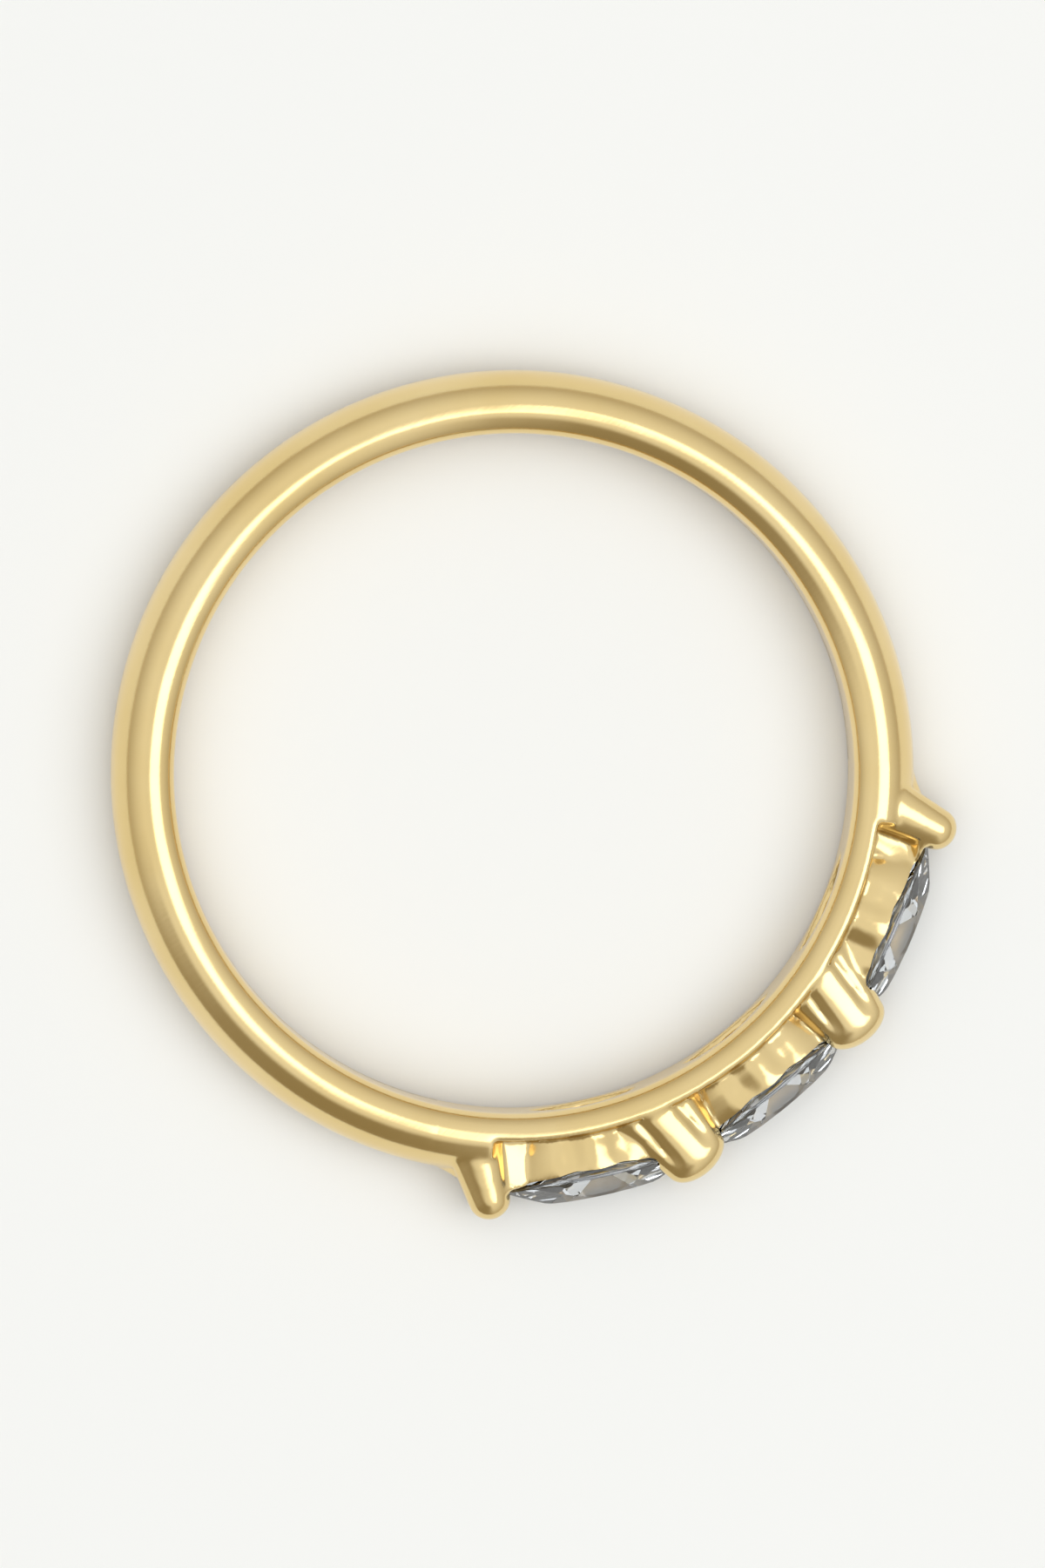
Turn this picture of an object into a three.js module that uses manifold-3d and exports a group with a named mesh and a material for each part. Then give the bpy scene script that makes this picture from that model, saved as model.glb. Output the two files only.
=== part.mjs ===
// A three-stone stacking ring, lying on its side: the finger hole's axis is vertical and the stones face -Y.
import * as THREE from "three";
import { ConvexGeometry } from "three/addons/geometries/ConvexGeometry.js";
import { mergeVertices } from "three/addons/utils/BufferGeometryUtils.js";
import Module from "manifold-3d";

const wasm = await Module();
wasm.setup();

// Band, in millimetres
const fingerDiameter = 17.3;
const bandWidth = 2.6;
const bandThickness = 1.6;
const innerRounding = 0.3; // the rounded edge beside the finger
const flankHeight = 0.45; // the flat side of the band, which the ring lies on
const railHeight = 0.6; // the base rail that carries the setting

// Stones
const stoneLength = 5.0;
const stoneWidth = 2.5;
const crownHeight = 0.52;
const girdleThickness = 0.1;
const pavilionDepth = 1.0;
const tableRise = 2.35; // from the finger to the middle stone's table
const tipSpacing = 0.12; // between the tips of neighbouring stones
const stoneClearance = 0.05; // the seat's gap round each stone
const tableShare = 0.58; // the table's length and width as shares of the stone's
const keelShare = 0.16; // the keel's length as a share of the stone's

// Cups round the stones
const cupWall = 0.35;
const cupInset = 0.02; // from the girdle's edge in to the outside of the cup
const cupTaper = 0.72; // the foot's outline as a share of the top's

// Claws, two at each junction of the stones and two at each end of the row
const sharedClawDiameter = 1.08; // across the band
const sharedClawStretch = 1.62; // a junction claw's length along the band, as a share of its diameter
const sharedClawSpread = 1.2; // between the two claws at a junction, at their tips
const sharedClawShift = 0.06; // from the middle of the junction out to the middle of its claws
const sharedClawLean = 0.12; // how far the feet stand out past the tips
const sharedFootFlare = 1.26; // the half length of a foot, along the band
const endClawDiameter = 1.0;
const endClawStretch = 1.08;
const endClawSpread = 0.84;
const endClawSetback = 0.35; // from a stone's outer tip to the middle of its end claws
const endClawLean = 0.22;
const endFootFlare = 0.86;
const clawOverhang = 0.02; // the claws' rise over the table
const clawInset = 0.03; // from the band's flank in to the side of a claw's foot
const waistShare = 0.45; // how far along a claw its waist lies

// Shoulders, the sweeps from the band up to the end claws
const shoulderLength = 1.2;
const shoulderWidth = 1.9;
const shoulderUnderlap = 0.8; // how far one reaches in under the stone's tip
const shoulderInnerShare = 0.62; // its width beside the stone, as a share of that at the claws
const shoulderOuterShare = 0.3; // its width where it runs out on the band
const shoulderDrop = 0.42; // from the claws' tips down to the top of the sweep

// Smoothness
const turnSegments = 120;
const domeSteps = 10;
const edgeSteps = 3;
const curveSteps = 5;
const clawSides = 12;
const outlineSteps = 10;
const pocketSteps = 36;

// Places that follow from the sizes
const fingerRadius = fingerDiameter / 2;
const bandRadius = fingerRadius + bandThickness;
const railRadius = fingerRadius + railHeight;
const halfWidth = bandWidth / 2;
const tableLevel = fingerRadius + tableRise;
const girdleTop = tableLevel - crownHeight;
const girdleFoot = girdleTop - girdleThickness;
const stonePitch = 2 * Math.atan((stoneLength + tipSpacing) / 2 / girdleTop);
const rootRadius = (fingerRadius + railRadius) / 2;
const footLevel = fingerRadius - railHeight;
const clawTop = tableLevel + clawOverhang;
const sharedClawX = (stoneLength + tipSpacing) / 2 + sharedClawShift;
const endClawX = stoneLength / 2 + endClawSetback;
const pocketAngle = stonePitch + Math.atan(endClawX / girdleFoot);

const stones = [
  { name: "stone_left", turn: -stonePitch },
  { name: "stone_middle", turn: 0 },
  { name: "stone_right", turn: stonePitch },
];

const gold = new THREE.MeshStandardMaterial({ color: 0xe3c27c, roughness: 0.18, metalness: 1 });
const clear = new THREE.MeshStandardMaterial({ color: 0xdfe4e4, roughness: 0.03, metalness: 0 });

// The seat of a stone: X along the band, Y along the finger hole's axis, Z away from the finger
function seatFrame(turn) {
  const along = new THREE.Vector3(Math.cos(turn), Math.sin(turn), 0);
  const axis = new THREE.Vector3(0, 0, 1);
  const outward = new THREE.Vector3(Math.sin(turn), -Math.cos(turn), 0);
  return new THREE.Matrix4().makeBasis(along, axis, outward);
}

function solidFrom(geometry, matrix = new THREE.Matrix4()) {
  const plain = new THREE.BufferGeometry();
  const loose = geometry.index ? geometry.toNonIndexed() : geometry;
  plain.setAttribute("position", loose.getAttribute("position").clone());
  const merged = mergeVertices(plain.applyMatrix4(matrix), 1e-4);
  const mesh = new wasm.Mesh({
    numProp: 3,
    vertProperties: merged.attributes.position.array,
    triVerts: new Uint32Array(merged.index.array),
  });
  return new wasm.Manifold(mesh);
}

function meshFrom(solid, material, name) {
  const cut = solid.getMesh();
  const geometry = new THREE.BufferGeometry();
  geometry.setAttribute("position", new THREE.BufferAttribute(new Float32Array(cut.vertProperties), 3));
  geometry.setIndex(new THREE.BufferAttribute(new Uint32Array(cut.triVerts), 1));
  geometry.computeVertexNormals();
  const mesh = new THREE.Mesh(geometry, material);
  mesh.name = name;
  return mesh;
}

// A marquise outline, two arcs that meet in points, grown evenly outwards by the given amount
function marquisePoints(length, width, grow, steps) {
  const arcRadius = (length * length + width * width) / (4 * width);
  const centreDrop = arcRadius - width / 2;
  const grownRadius = arcRadius + grow;
  const tip = Math.acos(centreDrop / grownRadius);
  const points = [];
  for (const side of [1, -1]) {
    for (let i = 0; i < steps; i++) {
      const angle = tip - (2 * tip * i) / steps;
      const x = side * grownRadius * Math.sin(angle);
      const y = side * (grownRadius * Math.cos(angle) - centreDrop);
      points.push(new THREE.Vector2(x, y));
    }
  }
  return points;
}

// A marquise prism from one level to another, its outline shrinking towards the foot
function marquisePrism(length, width, grow, foot, top, footShare) {
  const shape = new THREE.Shape(marquisePoints(length, width, grow, outlineSteps));
  const geometry = new THREE.ExtrudeGeometry(shape, { depth: top - foot, bevelEnabled: false });
  const position = geometry.attributes.position;
  for (let i = 0; i < position.count; i++) {
    const share = position.getZ(i) > 0 ? 1 : footShare;
    position.setXYZ(i, position.getX(i) * share, position.getY(i) * share, position.getZ(i) + foot);
  }
  return geometry;
}

// A faceted marquise stone: table, two rows of crown facets, girdle, two rows of pavilion facets and a keel
function stoneGeometry(grow) {
  const rows = [
    { share: tableShare, steps: 4, level: tableLevel + grow },
    { share: 0.8, steps: 8, level: girdleTop + 0.56 * crownHeight + grow },
    { share: 1, steps: 8, level: girdleTop + grow / 2 },
    { share: 1, steps: 8, level: girdleFoot - grow / 2 },
    { share: 0.62, steps: 4, level: girdleFoot - 0.55 * pavilionDepth - grow },
  ];
  const points = [];
  for (const row of rows) {
    for (const point of marquisePoints(stoneLength * row.share, stoneWidth * row.share, grow, row.steps)) {
      points.push(new THREE.Vector3(point.x, point.y, row.level));
    }
  }
  for (const end of [-1, 1]) {
    points.push(new THREE.Vector3((end * keelShare * stoneLength) / 2, 0, girdleFoot - pavilionDepth - grow));
  }
  return new ConvexGeometry(points);
}

// The band's section, turned round the finger hole: rounded inner edges, flat flanks and a domed outside
function bandBlank() {
  const edgeCentre = fingerRadius + innerRounding;
  const flankTop = edgeCentre + flankHeight;
  const domeHeight = bandRadius - flankTop;
  const edgeLevel = halfWidth - innerRounding;
  const quarter = Math.PI / 2;
  const dome = new THREE.EllipseCurve(flankTop, 0, domeHeight, halfWidth, -quarter, quarter);
  const upperEdge = new THREE.EllipseCurve(edgeCentre, edgeLevel, innerRounding, innerRounding, quarter, 2 * quarter);
  const lowerEdge = new THREE.EllipseCurve(edgeCentre, -edgeLevel, innerRounding, innerRounding, -2 * quarter, -quarter);
  const points = [
    ...dome.getPoints(domeSteps),
    ...upperEdge.getPoints(edgeSteps),
    ...lowerEdge.getPoints(edgeSteps),
  ];
  points.push(points[0].clone());
  const geometry = new THREE.LatheGeometry(points, turnSegments);
  return solidFrom(geometry, new THREE.Matrix4().makeRotationX(Math.PI / 2));
}

// The room over the base rail, between the two ends of the band
function headPocket() {
  const reach = bandRadius + bandThickness;
  const middle = -Math.PI / 2;
  const shape = new THREE.Shape();
  shape.absarc(0, 0, railRadius, middle - pocketAngle, middle + pocketAngle, false);
  shape.absarc(0, 0, reach, middle + pocketAngle, middle - pocketAngle, true);
  const geometry = new THREE.ExtrudeGeometry(shape, {
    depth: 2 * bandWidth,
    bevelEnabled: false,
    curveSegments: pocketSteps,
  });
  return solidFrom(geometry, new THREE.Matrix4().makeTranslation(0, 0, -bandWidth));
}

function cup() {
  return solidFrom(marquisePrism(stoneLength, stoneWidth, -cupInset, footLevel, girdleFoot, cupTaper));
}

// The hole under a stone, open to the finger
function azureHole() {
  const inset = -cupInset - cupWall;
  return solidFrom(marquisePrism(stoneLength, stoneWidth, inset, footLevel, tableLevel, cupTaper ** 2));
}

// A claw from its foot to its rounded tip, its foot flared along the band but no wider across it
function claw(foot, tip, diameter, stretch, footFlare) {
  const radius = diameter / 2;
  const length = foot.distanceTo(tip);
  const neck = length - radius;
  const footRadius = footFlare / stretch;
  const start = new THREE.Vector2(footRadius, 0);
  const waist = new THREE.Vector2(radius + (footRadius - radius) * waistShare, neck * waistShare);
  const sweep = new THREE.QuadraticBezierCurve(start, waist, new THREE.Vector2(radius, neck));
  const ball = new THREE.EllipseCurve(0, neck, radius, radius, 0, Math.PI / 2);
  const points = [
    new THREE.Vector2(0, 0),
    ...sweep.getPoints(curveSteps),
    ...ball.getPoints(curveSteps).slice(1, -1),
    new THREE.Vector2(0, length),
  ];
  const geometry = new THREE.LatheGeometry(points, clawSides);
  const position = geometry.attributes.position;
  for (let i = 0; i < position.count; i++) {
    position.setX(i, position.getX(i) * stretch);
    position.setZ(i, THREE.MathUtils.clamp(position.getZ(i), -radius, radius));
  }
  const direction = tip.clone().sub(foot).normalize();
  const turn = new THREE.Quaternion().setFromUnitVectors(new THREE.Vector3(0, 1, 0), direction);
  return solidFrom(geometry, new THREE.Matrix4().compose(foot, turn, new THREE.Vector3(1, 1, 1)));
}

// The pairs at both junctions, in the middle stone's frame
function sharedClaws() {
  const claws = [];
  const footSpread = bandWidth - sharedClawDiameter - 2 * clawInset;
  for (const end of [-1, 1]) {
    for (const side of [-1, 1]) {
      const foot = new THREE.Vector3(end * (sharedClawX + sharedClawLean), (side * footSpread) / 2, footLevel);
      const tip = new THREE.Vector3(end * sharedClawX, (side * sharedClawSpread) / 2, clawTop);
      claws.push(claw(foot, tip, sharedClawDiameter, sharedClawStretch, sharedFootFlare));
    }
  }
  return claws;
}

// The pair at one end, in the outer stone's frame
function endClaws(end) {
  const claws = [];
  const footSpread = bandWidth - endClawDiameter - 2 * clawInset;
  for (const side of [-1, 1]) {
    const foot = new THREE.Vector3(end * (endClawX + endClawLean), (side * footSpread) / 2, footLevel);
    const tip = new THREE.Vector3(end * endClawX, (side * endClawSpread) / 2, clawTop);
    claws.push(claw(foot, tip, endClawDiameter, endClawStretch, endFootFlare));
  }
  return claws;
}

// The concave sweep that carries the band's crest up to the end claws, widest beside them
function shoulder(end) {
  const topLevel = clawTop - shoulderDrop;
  const endX = endClawX + shoulderLength;
  const endLevel = Math.sqrt(bandRadius ** 2 - endX ** 2);
  const bendX = endClawX + endClawDiameter / 2;
  const bendLevel = (topLevel + endLevel) / 2;
  const innerX = stoneLength / 2 - shoulderUnderlap;
  const shape = new THREE.Shape();
  shape.moveTo(innerX, footLevel);
  shape.lineTo(endX, footLevel);
  shape.lineTo(endX, endLevel);
  shape.quadraticCurveTo(bendX, bendLevel, endClawX, topLevel);
  shape.lineTo(stoneLength / 2, girdleFoot);
  shape.lineTo(innerX, girdleFoot);
  const geometry = new THREE.ExtrudeGeometry(shape, {
    depth: shoulderWidth,
    bevelEnabled: false,
    curveSegments: curveSteps,
  });
  geometry.translate(0, 0, -shoulderWidth / 2);
  const position = geometry.attributes.position;
  for (let i = 0; i < position.count; i++) {
    const reach = position.getX(i) - endClawX;
    const inward = 1 + ((1 - shoulderInnerShare) * reach) / (endClawX - innerX);
    const outward = 1 - ((1 - shoulderOuterShare) * reach) / shoulderLength;
    position.setZ(i, position.getZ(i) * (reach < 0 ? inward : outward));
  }
  const stand = new THREE.Matrix4().makeRotationX(Math.PI / 2);
  const face = new THREE.Matrix4().makeRotationZ(end > 0 ? 0 : Math.PI);
  return solidFrom(geometry, face.multiply(stand));
}

// Everything that stands on the base rail, rooted halfway into it
function setting() {
  const pieces = stones.map(({ turn }) => ({ piece: cup(), turn }));
  for (const piece of sharedClaws()) {
    pieces.push({ piece, turn: 0 });
  }
  for (const end of [-1, 1]) {
    for (const piece of [...endClaws(end), shoulder(end)]) {
      pieces.push({ piece, turn: end * stonePitch });
    }
  }
  const placed = pieces.map(({ piece, turn }) => piece.transform(seatFrame(turn).elements));
  const standing = placed.reduce((whole, piece) => whole.add(piece));
  const core = new THREE.CylinderGeometry(rootRadius, rootRadius, 2 * bandWidth, turnSegments);
  return standing.subtract(solidFrom(core, new THREE.Matrix4().makeRotationX(Math.PI / 2)));
}

function metal() {
  let body = bandBlank().subtract(headPocket()).add(setting());
  for (const { turn } of stones) {
    body = body.subtract(azureHole().transform(seatFrame(turn).elements));
    body = body.subtract(solidFrom(stoneGeometry(stoneClearance), seatFrame(turn)));
  }
  return body;
}

const ring = new THREE.Group();
ring.add(meshFrom(metal(), gold, "band_and_setting"));
for (const { name, turn } of stones) {
  const stone = new THREE.Mesh(stoneGeometry(0), clear);
  stone.name = name;
  stone.applyMatrix4(seatFrame(turn));
  ring.add(stone);
}

// The ring rests on its side, and the origin lies under the middle of its box
const box = new THREE.Box3().setFromObject(ring);
ring.position.set(0, -(box.min.y + box.max.y) / 2, halfWidth);

const part = new THREE.Group();
part.add(ring);
export default part;
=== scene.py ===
import math
import bmesh
import bpy
from mathutils import Matrix, Vector


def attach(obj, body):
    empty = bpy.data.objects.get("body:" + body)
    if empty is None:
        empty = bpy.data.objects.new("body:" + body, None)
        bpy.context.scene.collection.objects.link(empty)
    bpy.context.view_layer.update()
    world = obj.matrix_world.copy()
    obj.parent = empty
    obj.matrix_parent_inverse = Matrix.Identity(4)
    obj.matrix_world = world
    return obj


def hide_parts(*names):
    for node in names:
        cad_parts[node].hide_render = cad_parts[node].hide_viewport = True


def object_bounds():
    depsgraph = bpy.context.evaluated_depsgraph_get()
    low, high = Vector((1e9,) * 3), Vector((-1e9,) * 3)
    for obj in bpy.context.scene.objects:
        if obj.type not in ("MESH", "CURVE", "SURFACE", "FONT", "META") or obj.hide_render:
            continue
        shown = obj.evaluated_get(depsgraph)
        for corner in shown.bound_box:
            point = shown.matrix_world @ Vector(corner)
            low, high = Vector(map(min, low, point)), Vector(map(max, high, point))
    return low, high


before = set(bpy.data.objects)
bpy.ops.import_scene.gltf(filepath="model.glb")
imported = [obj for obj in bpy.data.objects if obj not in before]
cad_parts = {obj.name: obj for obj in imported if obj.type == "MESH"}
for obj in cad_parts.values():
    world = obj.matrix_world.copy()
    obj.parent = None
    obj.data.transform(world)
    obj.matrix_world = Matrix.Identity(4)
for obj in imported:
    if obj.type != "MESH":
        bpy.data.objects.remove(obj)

cadLow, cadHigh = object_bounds()
metre = 0.001            # the pieces are worked in millimetres, then brought to metres
touching = 1e-4          # vertices nearer than this are made one
print("frame loaded, box", [round(v / metre, 2) for v in (cadHigh - cadLow)], "mm")

# The band, in millimetres. The finger hole's axis is Z and the stones face -Y.
band = {
    "fingerRadius": 8.65,
    "thickness": 1.6,
    "crestShare": 0.40,      # where the side stands highest, from the finger outwards
    "innerCurl": 0.5,        # how far the inner edge rolls in towards the middle of the band
    "railHeight": 0.68,
    "railCurl": 0.22,        # the rounding of the rail's outer edges
    "headAngle": 52.0,       # the head's piece runs this far to each side
    "bridgeAngle": 0.5,      # and is bridged to the shank over this turn
    "pocketAngle": 42.9,     # the full band begins here
    "stubAngle": 57.0,
    "railAngle": 56.0,       # the rail ends inside the stubs
    "domeSteps": 26,
    "edgeSteps": 10,
    "shankSteps": 220,
    "stubSteps": 12,
    "railSteps": 120,
}
bandRadius = band["fingerRadius"] + band["thickness"]
bandCrest = band["fingerRadius"] + band["crestShare"] * band["thickness"]
halfWidth = (cadHigh.z - cadLow.z) / metre / 2
centreY = cadHigh.y / metre - bandRadius
intoFrame = Matrix.Scale(metre, 4) @ Matrix.Translation((0, centreY, halfWidth))

# The stones, in millimetres
stone = {
    "length": 5.0,
    "width": 2.5,
    "crown": 0.52,
    "girdle": 0.1,
    "pavilion": 1.0,
    "tableRise": 2.35,
    "tipSpacing": 0.12,
    "blockShare": 1.3,       # the block it is ground from, as a share of its length and width
    "grindMargin": 1e-6,
    "girdleStart": 36.87,    # each long side of the outline faces from this turn on
    "girdleSpan": 106.26,
    "girdleSteps": 40,
    "girdleLean": 0.02,      # faces that lean less than this are the girdle's
}
tableLevel = band["fingerRadius"] + stone["tableRise"]
girdleTop = tableLevel - stone["crown"]
girdleFoot = girdleTop - stone["girdle"]
pitch = 2 * math.atan((stone["length"] + stone["tipSpacing"]) / 2 / girdleTop)
seats = {"stone_left": -pitch, "stone_middle": 0.0, "stone_right": pitch}


def seatMatrix(turn):    # X along the band, Y along the finger hole, Z out through the stone
    along = Vector((math.cos(turn), math.sin(turn), 0))
    outward = Vector((math.sin(turn), -math.cos(turn), 0))
    axis = Vector((0, 0, 1))
    return Matrix((along, axis, outward)).transposed().to_4x4()


def makeObject(name, bm, smooth=True):
    mesh = bpy.data.meshes.new(name)
    if smooth:
        for face in bm.faces:
            face.smooth = True
    bm.to_mesh(mesh)
    bm.free()
    made = bpy.data.objects.new(name, mesh)
    bpy.context.scene.collection.objects.link(made)
    return made


def applyModifiers(obj):
    graph = bpy.context.evaluated_depsgraph_get()
    mesh = bpy.data.meshes.new_from_object(obj.evaluated_get(graph))
    obj.modifiers.clear()
    obj.data = mesh
    return obj


def addChain(bm, points, closed=False):    # a few vertices joined in a line or a loop
    verts = [bm.verts.new(p) for p in points]
    pairs = list(zip(verts, verts[1:]))
    if closed:
        pairs.append((verts[-1], verts[0]))
    edges = [bm.edges.new(pair) for pair in pairs]
    return verts, edges


def ellipsePoints(centre, across, rise, start, end, steps):
    points = []
    for i in range(steps + 1):
        angle = math.radians(start + (end - start) * i / steps)
        points.append((centre[0] + across * math.cos(angle), centre[1] + rise * math.sin(angle)))
    return points


def spunBand(bm, section, start, span, steps, capped):
    turn = Matrix.Rotation(math.radians(start), 3, "Z")
    verts, edges = addChain(bm, [turn @ Vector((0, -r, z)) for r, z in section], closed=True)
    if capped:
        bmesh.ops.contextual_create(bm, geom=edges)
    made = bmesh.ops.spin(bm, geom=verts + edges, cent=(0, 0, 0), axis=(0, 0, 1),
                          angle=math.radians(span), steps=steps, use_merge=False, dvec=(0, 0, 0))
    last = [e for e in made["geom_last"] if isinstance(e, bmesh.types.BMEdge)]
    if capped:
        bmesh.ops.contextual_create(bm, geom=last)
    return edges, last


def innerSection():    # the band's two rolled inner edges
    inner, curl, steps = bandCrest - band["fingerRadius"], band["innerCurl"], band["edgeSteps"]
    upper = ellipsePoints((bandCrest, halfWidth - curl), inner, curl, 90, 180, steps)
    lower = ellipsePoints((bandCrest, curl - halfWidth), inner, curl, 180, 270, steps)
    return upper[1:] + lower[:-1]


def fullSection():    # pairs of radius and height, as one loop
    dome = ellipsePoints((bandCrest, 0), bandRadius - bandCrest, halfWidth, -90, 90, band["domeSteps"])
    return dome + innerSection()


def railSection():    # the band's own inner edges, cut off low to carry the stones
    outer = band["railHeight"] - (bandCrest - band["fingerRadius"])
    roll, steps = band["railCurl"], band["edgeSteps"]
    points = ellipsePoints((bandCrest, roll - halfWidth), outer, roll, -90, 0, steps)
    points += ellipsePoints((bandCrest, halfWidth - roll), outer, roll, 0, 90, steps)
    return points + innerSection()


# Cups: rows run up the outside, over the edge and down the inside
cup = {
    "inset": 0.02,
    "outlineSteps": 60,
    "fluteDepth": 0.13,      # two soft flutes up each side
    "fluteWidth": 0.34,
    "flutePlaces": (-0.62, 0.62),
    "fluteTop": 10.42,
    "fluteFade": 0.4,        # a flute runs out over this height
    "plainTip": 0.05,        # the wall nearer its tips than this has no flutes
    "uprightRise": 0.2,      # edges that rise more than this run from row to row
    "wallCuts": 2,
    "rows": (
        {"level": 8.75, "lengthShare": 0.80, "widthShare": 0.76},
        {"level": 9.20, "lengthShare": 0.87, "widthShare": 0.90},
        {"level": 9.65, "lengthShare": 0.94, "widthShare": 0.975},
        {"level": 10.05, "lengthShare": 0.98, "widthShare": 1.00},
        {"level": 10.36, "lengthShare": 1.00, "widthShare": 0.98},
        {"level": 10.36, "lengthShare": 0.86, "widthShare": 0.76},
        {"level": 9.80, "lengthShare": 0.70, "widthShare": 0.56},
        {"level": 8.75, "lengthShare": 0.56, "widthShare": 0.42},
    ),
    "holeLength": 2.7,
    "holeWidth": 1.05,
    "holeFoot": 7.5,
    "holeHeight": 2.5,
}


def marquisePoints(length, width, grow, level, steps):    # two arcs that meet in points
    arc = (length * length + width * width) / (4 * width)
    drop = arc - width / 2
    tip = math.acos(drop / (arc + grow))
    points = []
    for side in (1, -1):
        for i in range(steps):
            angle = tip - 2 * tip * i / steps
            x = side * (arc + grow) * math.sin(angle)
            y = side * ((arc + grow) * math.cos(angle) - drop)
            points.append(Vector((x, y, level)))
    return points


def makeCup(turn):
    bm = bmesh.new()
    outline = marquisePoints(stone["length"], stone["width"], -cup["inset"], 0, cup["outlineSteps"])
    first = cup["rows"][0]
    placed = [(p.x * first["lengthShare"], p.y * first["widthShare"], first["level"]) for p in outline]
    _, edges = addChain(bm, placed, closed=True)
    before = first
    for row in cup["rows"][1:] + (first,):
        made = bmesh.ops.extrude_edge_only(bm, edges=edges)["geom"]
        verts = [g for g in made if isinstance(g, bmesh.types.BMVert)]
        edges = [g for g in made if isinstance(g, bmesh.types.BMEdge)]
        stretch = (row["lengthShare"] / before["lengthShare"], row["widthShare"] / before["widthShare"], 1)
        bmesh.ops.scale(bm, vec=stretch, verts=verts)
        bmesh.ops.translate(bm, vec=(0, 0, row["level"] - before["level"]), verts=verts)
        before = row
    bmesh.ops.remove_doubles(bm, verts=bm.verts, dist=touching)
    upright = [e for e in bm.edges if abs(e.verts[0].co.z - e.verts[1].co.z) > cup["uprightRise"]]
    bmesh.ops.subdivide_edges(bm, edges=upright, cuts=cup["wallCuts"], use_grid_fill=True)
    for v in bm.verts:
        if abs(v.co.y) > cup["plainTip"]:
            fading = min(1, max(0, (cup["fluteTop"] - v.co.z) / cup["fluteFade"]))
            pasts = [(v.co.x - place) / cup["fluteWidth"] for place in cup["flutePlaces"]]
            hollow = sum(math.exp(-past ** 2) for past in pasts)
            v.co.y -= math.copysign(cup["fluteDepth"] * fading * hollow, v.co.y)
    bmesh.ops.recalc_face_normals(bm, faces=bm.faces)
    bmesh.ops.transform(bm, matrix=seatMatrix(turn), verts=bm.verts)
    return bm


# Claws: a lathed rod with a rounded tip, its foot flared along the band, leaning in over the stone
claw = {
    "rise": 0.02,
    "footInset": 0.03,
    "foot": 8.05,
    "waistShare": 0.45,
    "steps": 20,
    "sides": 72,
    "fluteDepth": 0.13,      # a flute beside each edge of a junction claw
    "fluteWidth": 0.11,
    "flutePlace": 0.50,
    "fluteFade": 0.5,
    "tipSteps": 8,
    "shared": {"radius": 0.54, "stretch": 1.62, "spread": 1.2, "flare": 0.78, "lean": 0.12, "shift": 0.06},
    "end": {"radius": 0.5, "stretch": 1.08, "spread": 0.84, "flare": 0.80, "lean": 0.22, "shift": 0.35},
}
clawTop = tableLevel + claw["rise"]


def clawProfile(kind, length):    # radius and height, from the foot's middle to the tip
    radius, flare = kind["radius"], kind["flare"]
    neck = length - radius
    waist = (radius + (flare - radius) * claw["waistShare"], neck * claw["waistShare"])
    points = [(0, 0)]
    for i in range(claw["steps"] + 1):
        t = i / claw["steps"]
        r = (1 - t) ** 2 * flare + 2 * t * (1 - t) * waist[0] + t * t * radius
        points.append((r, 2 * t * (1 - t) * waist[1] + t * t * neck))
    points += ellipsePoints((0, neck), radius, radius, 0, 90, claw["tipSteps"])[1:-1]
    points.append((0, length))
    return points


def makeClaw(kind, tipX, end, side, turn):
    bm = bmesh.new()
    footSpread = halfWidth - kind["radius"] - claw["footInset"]
    foot = Vector((end * (tipX + kind["lean"]), side * footSpread, claw["foot"]))
    tip = Vector((end * tipX, side * kind["spread"] / 2, clawTop))
    length = (tip - foot).length
    verts, edges = addChain(bm, [(r, 0, h) for r, h in clawProfile(kind, length)])
    bmesh.ops.spin(bm, geom=verts + edges, cent=(0, 0, 0), axis=(0, 0, 1), angle=2 * math.pi,
                   steps=claw["sides"], use_merge=True, dvec=(0, 0, 0))
    bmesh.ops.remove_doubles(bm, verts=bm.verts, dist=touching)
    bmesh.ops.recalc_face_normals(bm, faces=bm.faces)
    for v in bm.verts:
        reach = math.hypot(v.co.x, v.co.y)
        if reach > kind["radius"]:
            v.co.y *= kind["radius"] / reach    # flared along the band only
    bmesh.ops.scale(bm, vec=(kind["stretch"], 1, 1), verts=bm.verts)
    if kind is claw["shared"]:
        for v in bm.verts:
            fading = min(1, max(0, (length - kind["radius"] - v.co.z) / claw["fluteFade"]))
            past = (abs(v.co.x) - claw["flutePlace"]) / claw["fluteWidth"]
            v.co.y *= 1 - claw["fluteDepth"] / kind["radius"] * fading * math.exp(-past * past)
    way = tip - foot
    tilt = Matrix.Rotation(math.atan2(way.x, way.z), 4, "Y")
    spread = Matrix.Rotation(-math.atan2(way.y, math.hypot(way.x, way.z)), 4, "X")
    placed = seatMatrix(turn) @ Matrix.Translation(foot) @ tilt @ spread
    bmesh.ops.transform(bm, matrix=placed, verts=bm.verts)
    return bm


def makeClaws():
    claws = []
    for end in (-1, 1):
        for side in (-1, 1):
            shared, last = claw["shared"], claw["end"]
            sharedX = (stone["length"] + stone["tipSpacing"]) / 2 + shared["shift"]
            claws.append(makeClaw(shared, sharedX, end, side, 0.0))
            claws.append(makeClaw(last, stone["length"] / 2 + last["shift"], end, side, end * pitch))
    return claws


# Shoulders: the sweep from the band's crest up to the end claws
shoulder = {
    "length": 1.2,
    "width": 1.9,
    "underlap": 0.8,
    "drop": 0.42,
    "rounding": 0.4,
    "innerShare": 0.62,      # its width beside the stone and on the band, as shares of that at the claws
    "outerShare": 0.3,
    "steps": 10,
    "plainFoot": 0.1,        # edges above this, outside the stone, are rounded
    "plainMargin": 1e-3,
    "roundingSteps": 6,
}


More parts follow.
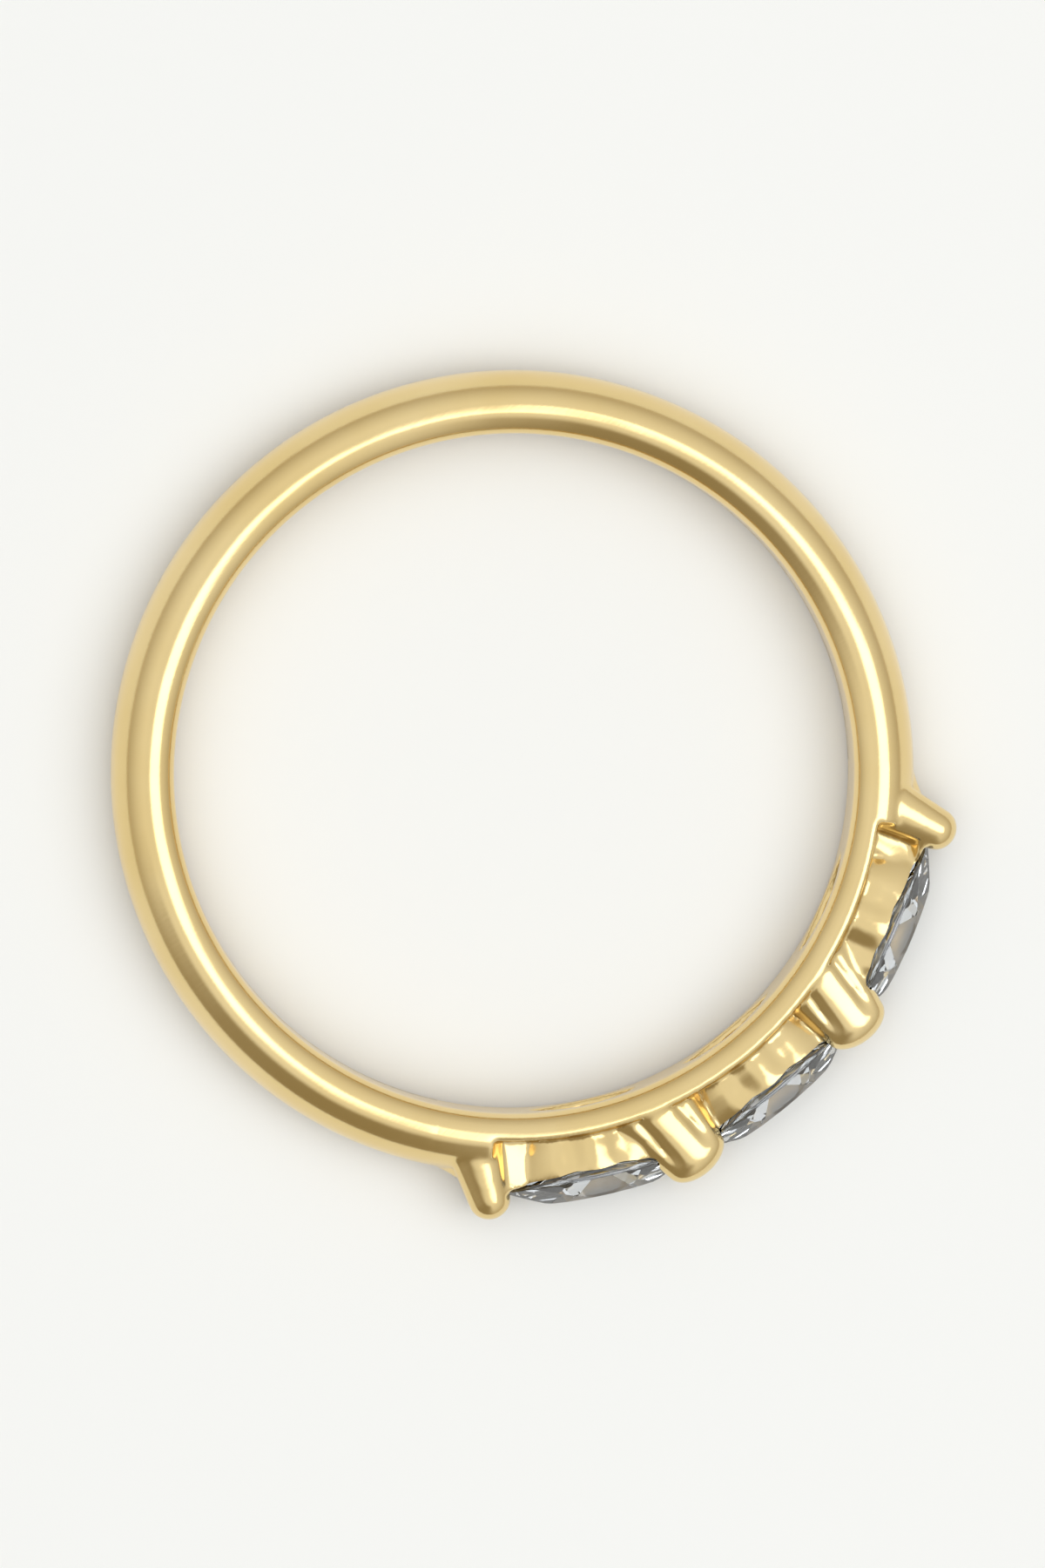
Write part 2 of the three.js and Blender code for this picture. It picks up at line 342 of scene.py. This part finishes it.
def makeShoulder(end):
    bm = bmesh.new()
    clawX = stone["length"] / 2 + claw["end"]["shift"]
    innerX = stone["length"] / 2 - shoulder["underlap"]
    endX = clawX + shoulder["length"]
    endLevel = math.sqrt(bandRadius ** 2 - endX ** 2)
    topLevel = clawTop - shoulder["drop"]
    bend = (clawX + claw["end"]["radius"], (topLevel + endLevel) / 2)
    outline = [(innerX, girdleFoot), (innerX, claw["foot"]), (endX, claw["foot"]), (endX, endLevel)]
    for i in range(1, shoulder["steps"] + 1):
        t = i / shoulder["steps"]
        x = (1 - t) ** 2 * endX + 2 * t * (1 - t) * bend[0] + t * t * clawX
        outline.append((x, (1 - t) ** 2 * endLevel + 2 * t * (1 - t) * bend[1] + t * t * topLevel))
    outline.append((stone["length"] / 2, girdleFoot))
    half = shoulder["width"] / 2
    _, edges = addChain(bm, [(end * x, -half, level) for x, level in outline], closed=True)
    face = bmesh.ops.contextual_create(bm, geom=edges)["faces"][0]
    made = bmesh.ops.extrude_face_region(bm, geom=[face])["geom"]
    far = [g for g in made if isinstance(g, bmesh.types.BMVert)]
    bmesh.ops.translate(bm, vec=(0, shoulder["width"], 0), verts=far)
    for v in bm.verts:
        reach = abs(v.co.x) - clawX
        if reach < 0:
            v.co.y *= 1 + (1 - shoulder["innerShare"]) * reach / (clawX - innerX)
        else:
            v.co.y *= 1 - (1 - shoulder["outerShare"]) * reach / shoulder["length"]
    bmesh.ops.recalc_face_normals(bm, faces=bm.faces)
    lowest = claw["foot"] + shoulder["plainFoot"]
    nearest = stone["length"] / 2 - shoulder["plainMargin"]
    crest = [e for e in bm.edges if e.verts[0].co.y * e.verts[1].co.y > 0
             and min(v.co.z for v in e.verts) > lowest
             and min(abs(v.co.x) for v in e.verts) > nearest]
    bmesh.ops.bevel(bm, geom=crest, offset=shoulder["rounding"], affect="EDGES",
                    segments=shoulder["roundingSteps"], profile=0.5, material=-1)
    bmesh.ops.transform(bm, matrix=seatMatrix(end * pitch), verts=bm.verts)
    return bm


# The head is fused into one skin, as a caster's wax is, and then cut for the stones
fused = {
    "voxel": 0.06,
    "smoothing": 10,
    "smoothingShare": 0.5,
    "weld": 1e-5,
    "sliver": 0.002,         # edges shorter than this, and faces smaller than the area, are slivers
    "sliverArea": 0.0012,
    "creaseAngle": 38,
    "cutterSteps": 180,
}


def rootCutter():
    bm = bmesh.new()
    radius = band["fingerRadius"] + band["railHeight"] / 2
    bmesh.ops.create_cone(bm, cap_ends=True, segments=fused["cutterSteps"],
                          radius1=radius, radius2=radius, depth=6 * halfWidth)
    return makeObject("rootCutter", bm)


def holeCutter(turn):
    bm = bmesh.new()
    outline = marquisePoints(cup["holeLength"], cup["holeWidth"], 0, cup["holeFoot"], cup["outlineSteps"])
    _, edges = addChain(bm, outline, closed=True)
    face = bmesh.ops.contextual_create(bm, geom=edges)["faces"][0]
    made = bmesh.ops.extrude_face_region(bm, geom=[face])["geom"]
    top = [g for g in made if isinstance(g, bmesh.types.BMVert)]
    bmesh.ops.translate(bm, vec=(0, 0, cup["holeHeight"]), verts=top)
    bmesh.ops.recalc_face_normals(bm, faces=bm.faces)
    bmesh.ops.transform(bm, matrix=seatMatrix(turn), verts=bm.verts)
    return makeObject("holeCutter", bm)


def cutAway(obj, cutters):
    for cutter in cutters:
        tool = obj.modifiers.new("cut", "BOOLEAN")
        tool.operation = "DIFFERENCE"
        tool.solver = "EXACT"
        tool.object = cutter
        applyModifiers(obj)
        bpy.data.objects.remove(cutter)
    return obj


def joined(name, parts):
    bm = bmesh.new()
    for part in parts:
        bm.from_mesh(part.data)
        bpy.data.objects.remove(part)
    return makeObject(name, bm)


def makeHead():
    bm = bmesh.new()
    spunBand(bm, railSection(), -band["railAngle"], 2 * band["railAngle"], band["railSteps"], capped=True)
    bmesh.ops.recalc_face_normals(bm, faces=bm.faces)
    parts = [cutAway(makeObject("rail", bm), [holeCutter(turn) for turn in seats.values()])]
    span = band["stubAngle"] - band["pocketAngle"]
    for start in (band["pocketAngle"], -band["stubAngle"]):
        bm = bmesh.new()
        spunBand(bm, fullSection(), start, span, band["stubSteps"], capped=True)
        bmesh.ops.recalc_face_normals(bm, faces=bm.faces)
        parts.append(makeObject("stub", bm))
    standing = [makeCup(turn) for turn in seats.values()] + makeClaws()
    standing += [makeShoulder(end) for end in (-1, 1)]
    for bm in standing:
        parts.append(cutAway(makeObject("standing", bm), [rootCutter()]))
    head = joined("head", parts)
    remesh = head.modifiers.new("fuse", "REMESH")
    remesh.mode = "VOXEL"
    remesh.voxel_size = fused["voxel"]
    remesh.use_smooth_shade = True
    soften = head.modifiers.new("soften", "SMOOTH")
    soften.factor = fused["smoothingShare"]
    soften.iterations = fused["smoothing"]
    return applyModifiers(head)


# Seats: smooth hollows that follow the stones with a little room
seat = {
    "clearance": 0.05,
    "outlineSteps": 40,
    "rows": (
        {"share": 0.16, "level": girdleFoot - stone["pavilion"] - 0.06},
        {"share": 0.47, "level": girdleFoot - 0.72 * stone["pavilion"]},
        {"share": 0.75, "level": girdleFoot - 0.36 * stone["pavilion"]},
        {"share": 1.00, "level": girdleFoot - 0.01},
        {"share": 1.00, "level": girdleTop + 0.02},
        {"share": 0.86, "level": girdleTop + 0.5 * stone["crown"]},
        {"share": 0.66, "level": tableLevel + 0.05},
    ),
}


def makeSeat(turn):
    bm = bmesh.new()
    outline = marquisePoints(stone["length"], stone["width"], seat["clearance"], 0, seat["outlineSteps"])
    first = seat["rows"][0]
    placed = [(p.x * first["share"], p.y * first["share"], first["level"]) for p in outline]
    _, edges = addChain(bm, placed, closed=True)
    bmesh.ops.contextual_create(bm, geom=edges)
    before = first
    for row in seat["rows"][1:]:
        made = bmesh.ops.extrude_edge_only(bm, edges=edges)["geom"]
        verts = [g for g in made if isinstance(g, bmesh.types.BMVert)]
        edges = [g for g in made if isinstance(g, bmesh.types.BMEdge)]
        stretch = row["share"] / before["share"]
        bmesh.ops.scale(bm, vec=(stretch, stretch, 1), verts=verts)
        bmesh.ops.translate(bm, vec=(0, 0, row["level"] - before["level"]), verts=verts)
        before = row
    bmesh.ops.contextual_create(bm, geom=edges)
    bmesh.ops.recalc_face_normals(bm, faces=bm.faces)
    bmesh.ops.transform(bm, matrix=seatMatrix(turn), verts=bm.verts)
    return makeObject("seat", bm)


def trimHead(head):    # both ends cut square, ready to meet the band
    bm = bmesh.new()
    bm.from_mesh(head.data)
    for side in (-1, 1):
        angle = math.radians(side * band["headAngle"])
        outward = Vector((math.cos(angle) * side, math.sin(angle) * side, 0))
        geom = bm.verts[:] + bm.edges[:] + bm.faces[:]
        bmesh.ops.bisect_plane(bm, geom=geom, plane_co=(0, 0, 0), plane_no=outward, clear_outer=True)
    return bm


def cleanSkin(obj):    # merges the slivers that the cuts leave, fills pinholes and drops folded faces
    bm = bmesh.new()
    bm.from_mesh(obj.data)
    bmesh.ops.remove_doubles(bm, verts=bm.verts, dist=fused["weld"])
    bmesh.ops.dissolve_degenerate(bm, dist=fused["sliver"], edges=bm.edges)
    bmesh.ops.holes_fill(bm, edges=[e for e in bm.edges if e.is_boundary], sides=0)
    cramped = [f for f in bm.faces if len(f.verts) > 4 or f.calc_area() < fused["sliverArea"]]
    bmesh.ops.triangulate(bm, faces=cramped)
    bmesh.ops.dissolve_degenerate(bm, dist=fused["sliver"], edges=bm.edges)
    corners = {}
    for face in bm.faces:
        corners.setdefault(frozenset(face.verts), []).append(face)
    folded = [face for faces in corners.values() if len(faces) > 1 for face in faces]
    bmesh.ops.delete(bm, geom=folded, context="FACES")
    for face in bm.faces:
        face.smooth = True
    openEdges = [e for e in bm.edges if not e.is_manifold]
    print("skin cleaned:", len(folded), "folded faces,", len(openEdges), "open edges")
    bm.to_mesh(obj.data)
    bm.free()


def makeMetal():
    head = makeHead()
    bm = trimHead(head)
    bpy.data.objects.remove(head)
    print("head fused:", len(bm.faces), "faces")
    rims = [e for e in bm.edges if e.is_boundary]
    start = band["headAngle"] + band["bridgeAngle"]
    first, last = spunBand(bm, fullSection(), start, 360 - 2 * start, band["shankSteps"], capped=False)
    right = [e for e in rims if e.verts[0].co.x > 0]
    left = [e for e in rims if e.verts[0].co.x < 0]
    bmesh.ops.bridge_loops(bm, edges=right + first)
    bmesh.ops.bridge_loops(bm, edges=left + last)
    bmesh.ops.recalc_face_normals(bm, faces=bm.faces)
    metal = makeObject("gold_band_and_setting", bm)
    cutAway(metal, [makeSeat(turn) for turn in seats.values()])
    cleanSkin(metal)
    metal.data.set_sharp_from_angle(angle=math.radians(fused["creaseAngle"]))
    return metal


# Facets of a marquise brilliant, round the table that is the top of its block. Each runs between
# two shares of the outline at two levels.
keel = girdleFoot - stone["pavilion"]
mainTurns = (0, 52, 90, 128, 180, 232, 270, 308)
starTurns = (28, 71, 109, 152, 208, 251, 289, 332)
breakTurns = (42, 61, 80, 100, 119, 138, 222, 241, 260, 280, 299, 318)
girdleTurns = []
for side in (0, 180):
    for i in range(stone["girdleSteps"] + 1):
        girdleTurns.append(side + stone["girdleStart"] + stone["girdleSpan"] * i / stone["girdleSteps"])
facets = {
    "mains": {"turns": mainTurns,
              "low": (1.0, girdleTop), "high": (0.57, tableLevel)},
    "stars": {"turns": starTurns,
              "low": (0.80, girdleTop + 0.68 * stone["crown"]), "high": (0.56, tableLevel)},
    "upperBreaks": {"turns": breakTurns,
                    "low": (1.0, girdleTop), "high": (0.83, girdleTop + 0.5 * stone["crown"])},
    "girdle": {"turns": girdleTurns,
               "low": (1.0, girdleFoot), "high": (1.0, girdleTop)},
    "lowerBreaks": {"turns": breakTurns,
                    "low": (0.42, girdleFoot - 0.72 * stone["pavilion"]), "high": (1.0, girdleFoot)},
    "pavilionMains": {"turns": mainTurns,
                      "low": (0.08, keel), "high": (1.0, girdleFoot)},
}


def outlineReach(turn):    # how far the marquise outline stands out in one direction
    arc = (stone["length"] ** 2 + stone["width"] ** 2) / (4 * stone["width"])
    drop = arc - stone["width"] / 2
    across = abs(math.sin(math.radians(turn)))
    along = abs(math.cos(math.radians(turn)))
    if along * arc >= stone["length"] / 2:
        return along * stone["length"] / 2
    return arc - drop * across


def grind(bm, point, normal):
    geom = bm.verts[:] + bm.edges[:] + bm.faces[:]
    cut = bmesh.ops.bisect_plane(bm, geom=geom, plane_co=point, plane_no=normal, clear_outer=True,
                                 dist=stone["grindMargin"])
    rim = [g for g in cut["geom_cut"] if isinstance(g, bmesh.types.BMEdge)]
    if rim:
        bmesh.ops.holes_fill(bm, edges=[e for e in bm.edges if e.is_boundary], sides=0)


def makeStone(name):    # ground from a block, facet by facet
    bm = bmesh.new()
    bmesh.ops.create_cube(bm, size=1)
    height = stone["crown"] + stone["girdle"] + stone["pavilion"]
    share = stone["blockShare"]
    bmesh.ops.scale(bm, vec=(stone["length"] * share, stone["width"] * share, height), verts=bm.verts)
    bmesh.ops.translate(bm, vec=(0, 0, tableLevel - height / 2), verts=bm.verts)
    for row in facets.values():
        lowShare, lowLevel = row["low"]
        highShare, highLevel = row["high"]
        for turn in row["turns"]:
            reach = outlineReach(turn)
            rise = highLevel - lowLevel
            run = (lowShare - highShare) * reach
            direction = Vector((math.cos(math.radians(turn)), math.sin(math.radians(turn)), 0))
            normal = (direction * rise + Vector((0, 0, run))).normalized()
            point = direction * lowShare * reach + Vector((0, 0, lowLevel))
            grind(bm, point, normal)
    bmesh.ops.remove_doubles(bm, verts=bm.verts, dist=touching)
    bmesh.ops.recalc_face_normals(bm, faces=bm.faces)
    bm.normal_update()
    for face in bm.faces:
        face.smooth = abs(face.normal.z) < stone["girdleLean"]    # the girdle is rounded, the facets are flat
    bmesh.ops.transform(bm, matrix=seatMatrix(seats[name]), verts=bm.verts)
    return makeObject("cut_" + name, bm, smooth=False)


class Signal:    # a node's output, which can stand in a sum
    def __init__(self, tree, socket=None):
        self.tree = tree
        self.socket = socket

    def node(self, kind, settings=None, inputs=None, output=0):
        made = self.tree.nodes.new(kind)
        for name, value in (settings or {}).items():
            if name == "stops":
                ramp = made.color_ramp
                while len(ramp.elements) < len(value):
                    ramp.elements.new(0.5)
                for element, (place, colour) in zip(ramp.elements, value):
                    element.position = place
                    element.color = (*colour, 1)
            else:
                setattr(made, name, value)
        for name, value in (inputs or {}).items():
            if isinstance(value, Signal):
                self.tree.links.new(value.socket, made.inputs[name])
            else:
                made.inputs[name].default_value = value
        return Signal(self.tree, made.outputs[output] if len(made.outputs) else None)

    def maths(self, operation, first, second):
        return self.node("ShaderNodeMath", {"operation": operation}, {0: first, 1: second})

    def __add__(self, other):
        return self.maths("ADD", self, other)

    def __radd__(self, other):
        return self.maths("ADD", other, self)

    def __sub__(self, other):
        return self.maths("SUBTRACT", self, other)

    def __mul__(self, other):
        return self.maths("MULTIPLY", self, other)


def noise(sheet, place, values):
    return sheet.node("ShaderNodeTexNoise", {"noise_dimensions": "3D"}, {"Vector": place, **values})


def newMaterial(name):
    material = bpy.data.materials.new(name)
    material.use_nodes = True
    material.node_tree.nodes.clear()
    return material, Signal(material.node_tree)


# Polished yellow gold: the polish leaves fine lines and a slight waviness, and painted shade darkens it in
# hollows and creases
gold = {
    "colour": (0.83, 0.65, 0.33),
    "deepColour": (0.785, 0.595, 0.27),
    "colourPlaces": (0.3, 0.65),    # where the clouds reach the deep colour and the plain one
    "clouds": {"Scale": 260, "Detail": 4, "Roughness": 0.55},
    "lines": {"Scale": 1500, "Detail": 3, "Roughness": 0.6},
    "lineTurn": (0.3, 0.5, 0.7),
    "lineStretch": (1, 9, 1),
    "lineDepth": 0.0000012,
    "waves": {"Scale": 420, "Detail": 1, "Roughness": 0.4},
    "waveDepth": 0.00003,
    # painted shade: the dark brown mixed into the colour in hollows and creases
    "paintedShadeColour": (0.36, 0.22, 0.07),
    "hollowReach": 0.0009,
    "hollowSamples": 8,
    "hollowRange": (0.15, 0.68),    # how far a place is exposed where it is all hollow, and not at all
    "hollowRoughness": 0.15,
    "roughness": 0.15,
    "roughnessRange": 0.08,
    "lineShare": 0.4,
    "cloudShare": 0.6,
}


def goldMaterial():
    material, sheet = newMaterial("polished_yellow_gold")
    place = sheet.node("ShaderNodeTexCoord", output="Object")
    clouds = noise(sheet, place, gold["clouds"])
    turned = sheet.node("ShaderNodeMapping", None,
                        {"Vector": place, "Rotation": gold["lineTurn"], "Scale": gold["lineStretch"]})
    lines = noise(sheet, turned, gold["lines"])
    waves = noise(sheet, place, gold["waves"])
    deepPlace, plainPlace = gold["colourPlaces"]
    stops = ((deepPlace, gold["deepColour"]), (plainPlace, gold["colour"]))
    polish = sheet.node("ShaderNodeValToRGB", {"stops": stops}, {"Fac": clouds})
    # Painted shade: where ambient occlusion finds a hollow or crease, the colour is mixed towards a dark
    # brown
    exposed = sheet.node("ShaderNodeAmbientOcclusion", {"samples": gold["hollowSamples"]},
                         {"Distance": gold["hollowReach"]}, output="AO")
    allHollow, noHollow = gold["hollowRange"]
    hollow = sheet.node("ShaderNodeMapRange", {"interpolation_type": "SMOOTHSTEP"},
                        {"Value": exposed, "From Min": allHollow, "From Max": noHollow,
                         "To Min": 1.0, "To Max": 0.0})
    colour = sheet.node("ShaderNodeMix", {"data_type": "RGBA"},
                        {0: hollow, 6: polish, 7: (*gold["paintedShadeColour"], 1)}, output=2)
    uneven = lines * gold["lineShare"] + clouds * gold["cloudShare"] - 0.5
    roughness = gold["roughness"] + uneven * gold["roughnessRange"] + hollow * gold["hollowRoughness"]
    wave = sheet.node("ShaderNodeBump", None,
                      {"Height": waves, "Strength": 1.0, "Distance": gold["waveDepth"]})
    fine = sheet.node("ShaderNodeBump", None,
                      {"Height": lines, "Strength": 1.0, "Distance": gold["lineDepth"], "Normal": wave})
    surface = sheet.node("ShaderNodeBsdfPrincipled", None,
                         {"Base Color": colour, "Metallic": 1.0, "Roughness": roughness, "Normal": fine})
    sheet.node("ShaderNodeOutputMaterial", None, {"Surface": surface})
    return material


# Clear faceted stone, with a polish that is almost even
gem = {
    "colour": (0.88, 0.94, 1.0),
    "ior": 2.15,
    "clouds": {"Scale": 900, "Detail": 2},
    "roughness": 0.02,
}


def gemMaterial():
    material, sheet = newMaterial("clear_faceted_stone")
    place = sheet.node("ShaderNodeTexCoord", output="Object")
    clouds = noise(sheet, place, gem["clouds"])
    surface = sheet.node("ShaderNodeBsdfPrincipled", None,
                         {"Base Color": (*gem["colour"], 1), "Roughness": clouds * gem["roughness"],
                          "IOR": gem["ior"], "Transmission Weight": 1.0})
    sheet.node("ShaderNodeOutputMaterial", None, {"Surface": surface})
    return material


def finishPiece(obj, material, nodes):
    mesh = obj.data
    bm = bmesh.new()
    bm.from_mesh(mesh)
    bmesh.ops.transform(bm, matrix=intoFrame, verts=bm.verts)
    bm.to_mesh(mesh)
    bm.free()
    mesh.materials.clear()
    mesh.materials.append(material)
    for polygon in mesh.polygons:
        polygon.material_index = 0
    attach(obj, "root")
    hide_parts(*nodes)


metal = makeMetal()
finishPiece(metal, goldMaterial(), ["band_and_setting"])
print("metal finished:", len(metal.data.polygons), "faces")
clearStone = gemMaterial()
for name in seats:
    cut = makeStone(name)
    finishPiece(cut, clearStone, [name])
    print("stone cut:", name, len(cut.data.polygons), "facets")

# The camera looks down on the ring, a little from the upper left of the picture
camera = {
    "turn": -39.5,
    "tilt": 5.0,
    "lens": 200,
    "sensor": 36,
    "distance": 0.222,
    "clipStart": 0.01,
}
turnAngle = math.radians(camera["turn"])
pictureRight = Vector((math.cos(turnAngle), math.sin(turnAngle), 0))
pictureUp = Vector((-math.sin(turnAngle), math.cos(turnAngle), 0))
lookedAt = Vector((0, 0, halfWidth * metre))


def placeCamera():
    away = (pictureUp - pictureRight).normalized() * math.sin(math.radians(camera["tilt"]))
    back = away + Vector((0, 0, math.cos(math.radians(camera["tilt"]))))
    right = pictureUp.cross(back).normalized()
    up = back.cross(right)
    data = bpy.data.cameras.new("camera")
    data.lens = camera["lens"]
    data.sensor_width = camera["sensor"]
    data.clip_start = camera["clipStart"]
    made = bpy.data.objects.new("camera", data)
    bpy.context.scene.collection.objects.link(made)
    facing = Matrix((right, up, back)).transposed().to_4x4()
    made.matrix_world = Matrix.Translation(lookedAt + back * camera["distance"]) @ facing
    bpy.context.scene.camera = made


placeCamera()

# A pale floor, a soft light from the right of the picture and a sky that lights the shade
studio = {
    "floorSize": 1.6,
    "floorColour": (0.90, 0.905, 0.88),
    "floorGrain": {"Scale": 900, "Detail": 3},
    "floorRoughness": 0.75,
    "floorRoughnessRange": 0.1,
    "floorShine": 0.1,
    "lightAway": 0.3,
    "lightTilt": 30,
    "lightTurn": -6,
    "lightSize": 0.16,
    "lightPower": 0.09,
    "shade": 0.25,
    "highShade": 2.7,        # more of the floor's light comes from overhead, so the shade stays thin
    "windowTilt": 22,        # the bright window that the gold mirrors, as a turn down from overhead
    "windowTurn": -8,
    "windowHeight": 18,
    "windowWidth": 14,
    "windowEnds": (1.15, 0.85),     # its edges fade out between these shares of its size
    "windowSides": (1.2, 0.8),
    "windowFront": (0.0, 0.1),      # and it is seen on its own side of the room only
    "windowGlow": 1.8,
    "roomGlow": 0.98,
    "dome": (                # the room's colours, from floor level up to overhead
        (0.0, (0.70, 0.66, 0.59)),
        (0.12, (0.59, 0.545, 0.475)),
        (0.26, (0.66, 0.635, 0.585)),
        (0.6, (0.84, 0.83, 0.81)),
        (0.9, (0.98, 0.98, 0.98)),
        (1.0, (0.96, 0.96, 0.96)),
    ),
    "darkTurn": 245,         # the side of the room that is left dark
    "darkFacing": (0.65, 1.0),
    "darkHeight": (0.95, 0.75),
    "darkColour": (0.34, 0.29, 0.20),
    "backdrop": (0.98, 0.98, 0.975),
}


def pictureDirection(tilt, turn):    # a turn down from overhead, towards an angle in the picture
    side = pictureRight * math.cos(math.radians(turn)) + pictureUp * math.sin(math.radians(turn))
    return side * math.sin(math.radians(tilt)) + Vector((0, 0, math.cos(math.radians(tilt))))


def makeFloor():
    bm = bmesh.new()
    bmesh.ops.create_grid(bm, x_segments=8, y_segments=8, size=studio["floorSize"] / 2)
    floor = makeObject("floor", bm)
    material, sheet = newMaterial("pale_card")
    place = sheet.node("ShaderNodeTexCoord", output="Object")
    grain = noise(sheet, place, studio["floorGrain"])
    roughness = studio["floorRoughness"] + grain * studio["floorRoughnessRange"]
    surface = sheet.node("ShaderNodeBsdfPrincipled", None,
                         {"Base Color": (*studio["floorColour"], 1), "Roughness": roughness,
                          "Specular IOR Level": studio["floorShine"]})
    sheet.node("ShaderNodeOutputMaterial", None, {"Surface": surface})
    floor.data.materials.append(material)


def makeLight():
    towards = pictureDirection(studio["lightTilt"], studio["lightTurn"])
    data = bpy.data.lights.new("soft_box", "AREA")
    data.shape = "SQUARE"
    data.size = studio["lightSize"]
    data.energy = studio["lightPower"]
    made = bpy.data.objects.new("soft_box", data)
    made.visible_glossy = False
    made.visible_transmission = False
    bpy.context.scene.collection.objects.link(made)
    facing = towards.to_track_quat("Z", "Y").to_matrix().to_4x4()
    made.matrix_world = Matrix.Translation(lookedAt + towards * studio["lightAway"]) @ facing


def makeSky():    # a window, a pale ceiling and a dark side to mirror, and plain white light for the floor
    world = bpy.data.worlds.new("studio_sky")
    bpy.context.scene.world = world
    world.use_nodes = True
    world.node_tree.nodes.clear()
    sky = Signal(world.node_tree)
    direction = sky.node("ShaderNodeTexCoord", output="Generated")

    def along(vector):
        return sky.node("ShaderNodeVectorMath", {"operation": "DOT_PRODUCT"},
                        {0: direction, 1: tuple(vector)}, output="Value")

    def fade(value, start, end):
        return sky.node("ShaderNodeMapRange", {"interpolation_type": "SMOOTHSTEP"},
                        {"Value": value, "From Min": start, "From Max": end})

    height = along((0, 0, 1))
    middle = pictureDirection(studio["windowTilt"], studio["windowTurn"])
    upper = pictureDirection(studio["windowTilt"] + 90, studio["windowTurn"])
    side = middle.cross(upper)
    down = sky.maths("ABSOLUTE", along(upper), 0.0) * (1 / math.sin(math.radians(studio["windowHeight"])))
    across = sky.maths("ABSOLUTE", along(side), 0.0) * (1 / math.sin(math.radians(studio["windowWidth"])))
    window = fade(down, *studio["windowEnds"]) * fade(across, *studio["windowSides"])
    window = window * fade(along(middle), *studio["windowFront"])
    dome = sky.node("ShaderNodeValToRGB", {"stops": studio["dome"]}, {"Fac": height})
    flat = sky.node("ShaderNodeVectorMath", {"operation": "MULTIPLY"}, {0: direction, 1: (1, 1, 0)})
    heading = sky.node("ShaderNodeVectorMath", {"operation": "NORMALIZE"}, {0: flat})
    facing = sky.node("ShaderNodeVectorMath", {"operation": "DOT_PRODUCT"},
                      {0: heading, 1: tuple(pictureDirection(90, studio["darkTurn"]))}, output="Value")
    dark = fade(facing, *studio["darkFacing"]) * fade(height, *studio["darkHeight"])
    room = sky.node("ShaderNodeMix", {"data_type": "RGBA"},
                    {0: dark, 6: dome, 7: (*studio["darkColour"], 1)}, output=2)
    level = studio["roomGlow"] + window * studio["windowGlow"]
    mirrored = sky.node("ShaderNodeBackground", None, {"Color": room, "Strength": level})
    cubed = height * height * height
    shade = cubed * cubed * studio["highShade"] + studio["shade"]
    even = sky.node("ShaderNodeBackground", None, {"Color": (1, 1, 1, 1), "Strength": shade})
    seen = sky.node("ShaderNodeBackground", None, {"Color": (*studio["backdrop"], 1), "Strength": 1.0})
    diffuse = sky.node("ShaderNodeLightPath", output="Is Diffuse Ray")
    straight = sky.node("ShaderNodeLightPath", output="Is Camera Ray")
    lit = sky.node("ShaderNodeMixShader", None, {0: diffuse, 1: mirrored, 2: even})
    whole = sky.node("ShaderNodeMixShader", None, {0: straight, 1: lit, 2: seen})
    sky.node("ShaderNodeOutputWorld", None, {"Surface": whole})


makeFloor()
makeLight()
makeSky()
bpy.context.scene.view_settings.view_transform = "Standard"
print("studio set")
